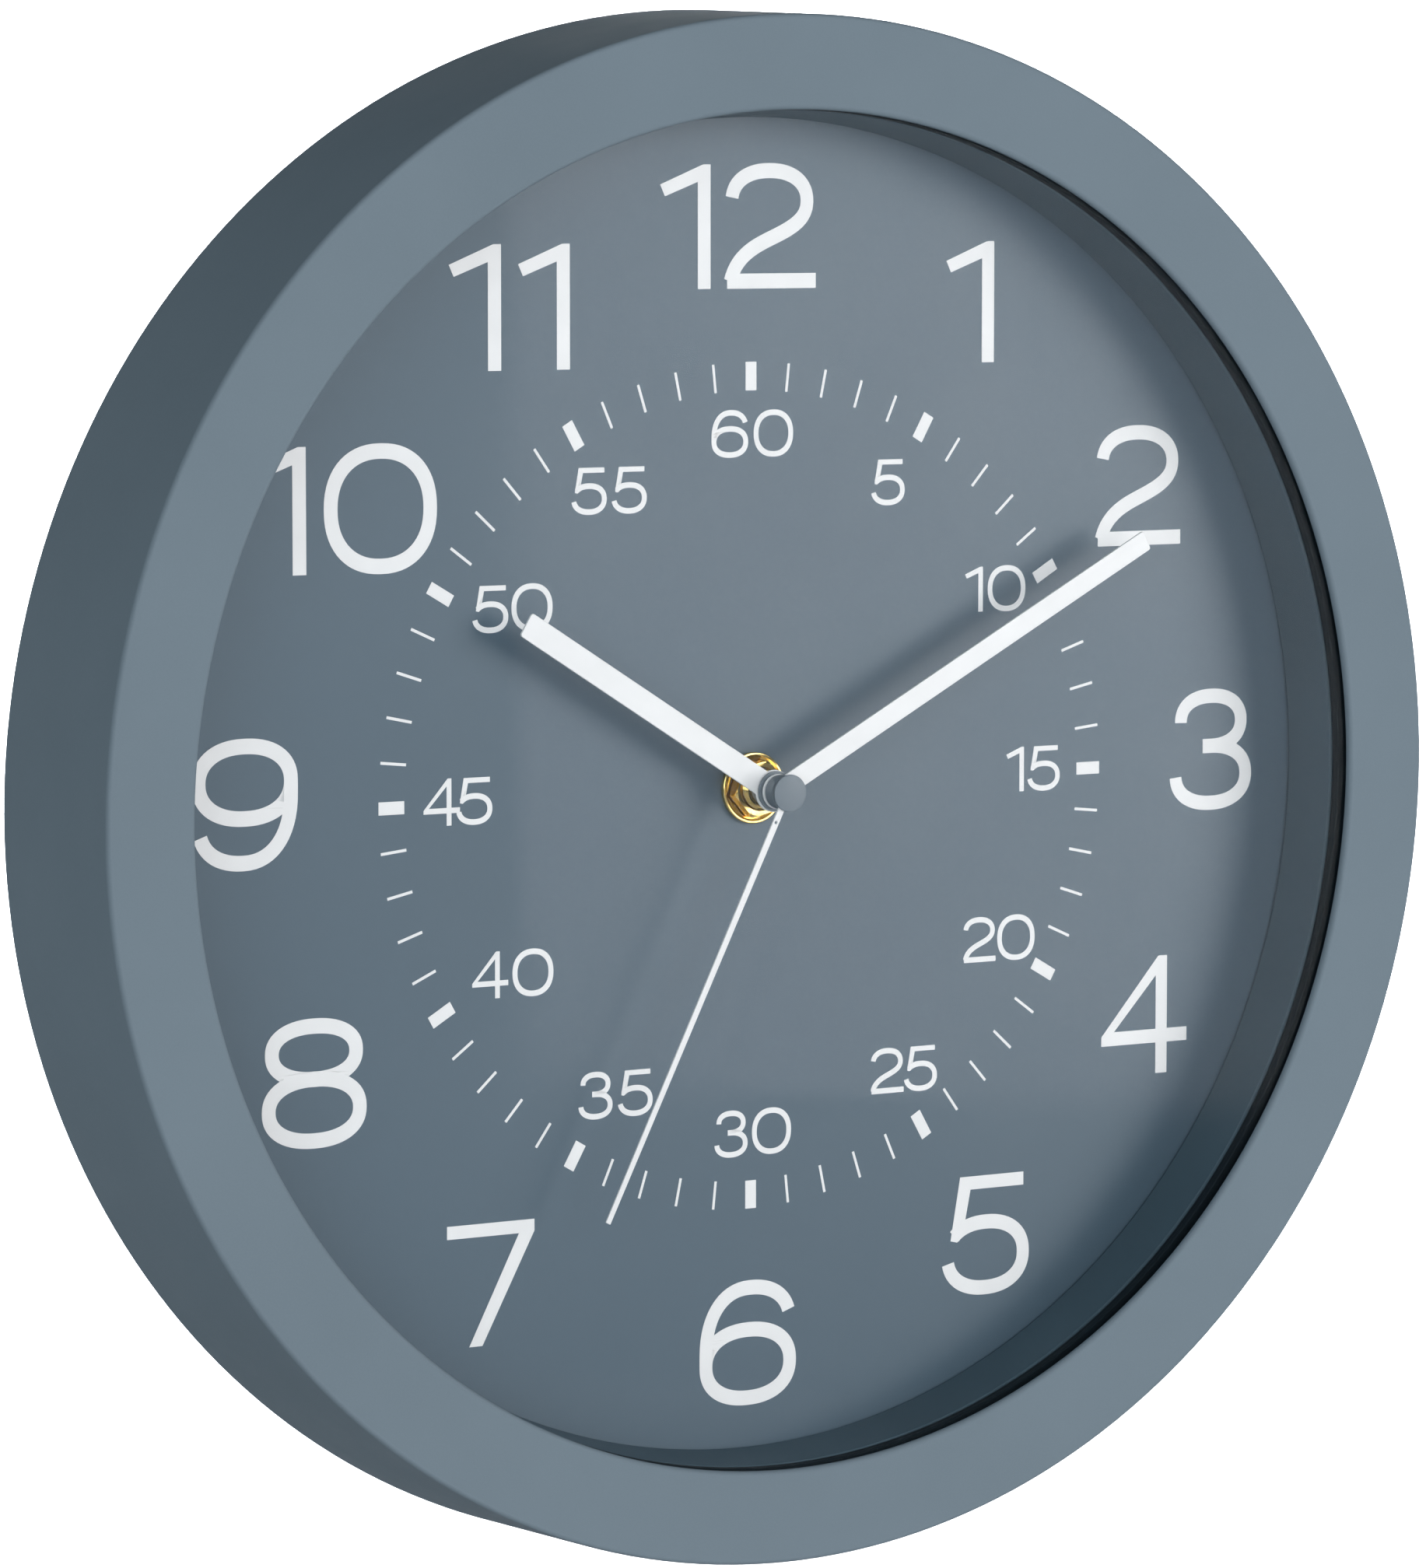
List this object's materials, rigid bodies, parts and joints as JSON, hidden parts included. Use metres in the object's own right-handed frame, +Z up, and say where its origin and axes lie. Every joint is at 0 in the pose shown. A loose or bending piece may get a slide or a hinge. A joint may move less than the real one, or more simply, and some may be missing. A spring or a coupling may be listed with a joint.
{
  "type": "wall clock",
  "caption": "Round analogue quartz wall clock with a flat bezel, sunk dial with numerals and ticks, three hands, battery movement and a keyhole hanger.",
  "frame": {"origin": "top of the hanger's keyhole slot, projected on the wall plane, where the wall hook carries the clock", "axes": "+Z up, +Y into the wall, the dial faces -Y; the rear rim lies in the plane y = 0"},
  "size_m": [0.3, 0.04, 0.3],
  "materials": {
    "case_plastic": "matte",
    "ring_plastic": "matte",
    "back_plastic": "matte",
    "clear_lens": "gloss",
    "gasket_rubber": "matte",
    "dial_sheet": "satin",
    "white_hands": "satin",
    "zinc_steel": "satin",
    "brass": "polished",
    "hub_plastic": "satin",
    "black_plastic": "satin",
    "train_plastic": "satin",
    "circuit_board": "satin",
    "copper_wire": "satin",
    "magnet": "satin",
    "battery_jacket": "satin"
  },
  "bodies": {
    "case": {"back_plate": "back_plastic", "back_screw_1": "zinc_steel", "back_screw_2": "zinc_steel", "back_screw_3": "zinc_steel", "back_screw_4": "zinc_steel", "back_screw_5": "zinc_steel", "back_screw_6": "zinc_steel", "brass_washer": "brass", "case_ring": "case_plastic", "circuit_board": "circuit_board", "clock_chip": "black_plastic", "coil_core": "zinc_steel", "coil_winding": "copper_wire", "contact_negative": "zinc_steel", "contact_positive": "zinc_steel", "dial": "dial_sheet", "hanger": "zinc_steel", "hanger_screw_1": "zinc_steel", "hanger_screw_2": "zinc_steel", "hex_nut": "brass", "inner_ring": "ring_plastic", "lens": "clear_lens", "lens_gasket": "gasket_rubber", "movement_case": "black_plastic", "movement_cover": "black_plastic", "quartz_crystal": "zinc_steel", "rubber_washer": "gasket_rubber", "stator": "zinc_steel", "threaded_bushing": "brass", "train_plate": "train_plastic"},
    "seconds": {"seconds_wheel": "train_plastic", "second_hand": "white_hands", "second_hand_hub": "hub_plastic", "second_hand_cap": "hub_plastic"},
    "rotor": {"rotor": "train_plastic", "rotor_magnet": "magnet"},
    "intermediate": {"intermediate_wheel": "train_plastic"},
    "third": {"third_wheel": "train_plastic"},
    "minutes": {"centre_wheel": "train_plastic", "minute_arbor": "brass", "minute_hand": "white_hands"},
    "minute_wheel": {"minute_wheel": "train_plastic"},
    "hours": {"hour_wheel": "train_plastic", "hour_hand": "white_hands", "hour_hand_hub": "hub_plastic"},
    "setting": {"setting_shaft": "train_plastic", "set_knob": "train_plastic"},
    "battery": {"battery": "battery_jacket"}
  },
  "joints": [
    {"name": "second_hand_turn", "type": "hinge", "parent": "case", "child": "seconds", "pos_m": [0, -0.0342, -0.112], "axis": [0, 1, 0], "continuous": true},
    {"name": "intermediate_turn", "type": "hinge", "parent": "case", "child": "intermediate", "pos_m": [-0.01008, -0.004, -0.112], "axis": [0, 1, 0], "continuous": true},
    {"name": "rotor_turn", "type": "hinge", "parent": "case", "child": "rotor", "pos_m": [-0.01295, -0.0065, -0.10411], "axis": [0, 1, 0], "continuous": true},
    {"name": "third_turn", "type": "hinge", "parent": "case", "child": "third", "pos_m": [0.00574, -0.008, -0.10206], "axis": [0, 1, 0], "continuous": true},
    {"name": "minute_hand_turn", "type": "hinge", "parent": "case", "child": "minutes", "pos_m": [0, -0.0305, -0.112], "axis": [0, 1, 0], "continuous": true},
    {"name": "minute_wheel_turn", "type": "hinge", "parent": "case", "child": "minute_wheel", "pos_m": [0.00966, -0.012, -0.11459], "axis": [0, 1, 0], "continuous": true},
    {"name": "hour_hand_turn", "type": "hinge", "parent": "case", "child": "hours", "pos_m": [0, -0.029, -0.112], "axis": [0, 1, 0], "continuous": true},
    {"name": "set_knob_turn", "type": "hinge", "parent": "case", "child": "setting", "pos_m": [0.01962, -0.0025, -0.11546], "axis": [0, 1, 0], "continuous": true},
    {"name": "battery_slide", "type": "slide", "parent": "case", "child": "battery", "axis": [0, 1, 0], "range_m": [0, 0.018]}
  ],
  "couplings": [
    {"joint": "intermediate_turn", "follows": "second_hand_turn", "ratio": -5},
    {"joint": "rotor_turn", "follows": "second_hand_turn", "ratio": 30},
    {"joint": "third_turn", "follows": "second_hand_turn", "ratio": -0.13333},
    {"joint": "minute_hand_turn", "follows": "second_hand_turn", "ratio": 0.016667},
    {"joint": "minute_wheel_turn", "follows": "second_hand_turn", "ratio": -0.0055556},
    {"joint": "hour_hand_turn", "follows": "second_hand_turn", "ratio": 0.0013889},
    {"joint": "set_knob_turn", "follows": "second_hand_turn", "ratio": 0.016667}
  ]
}
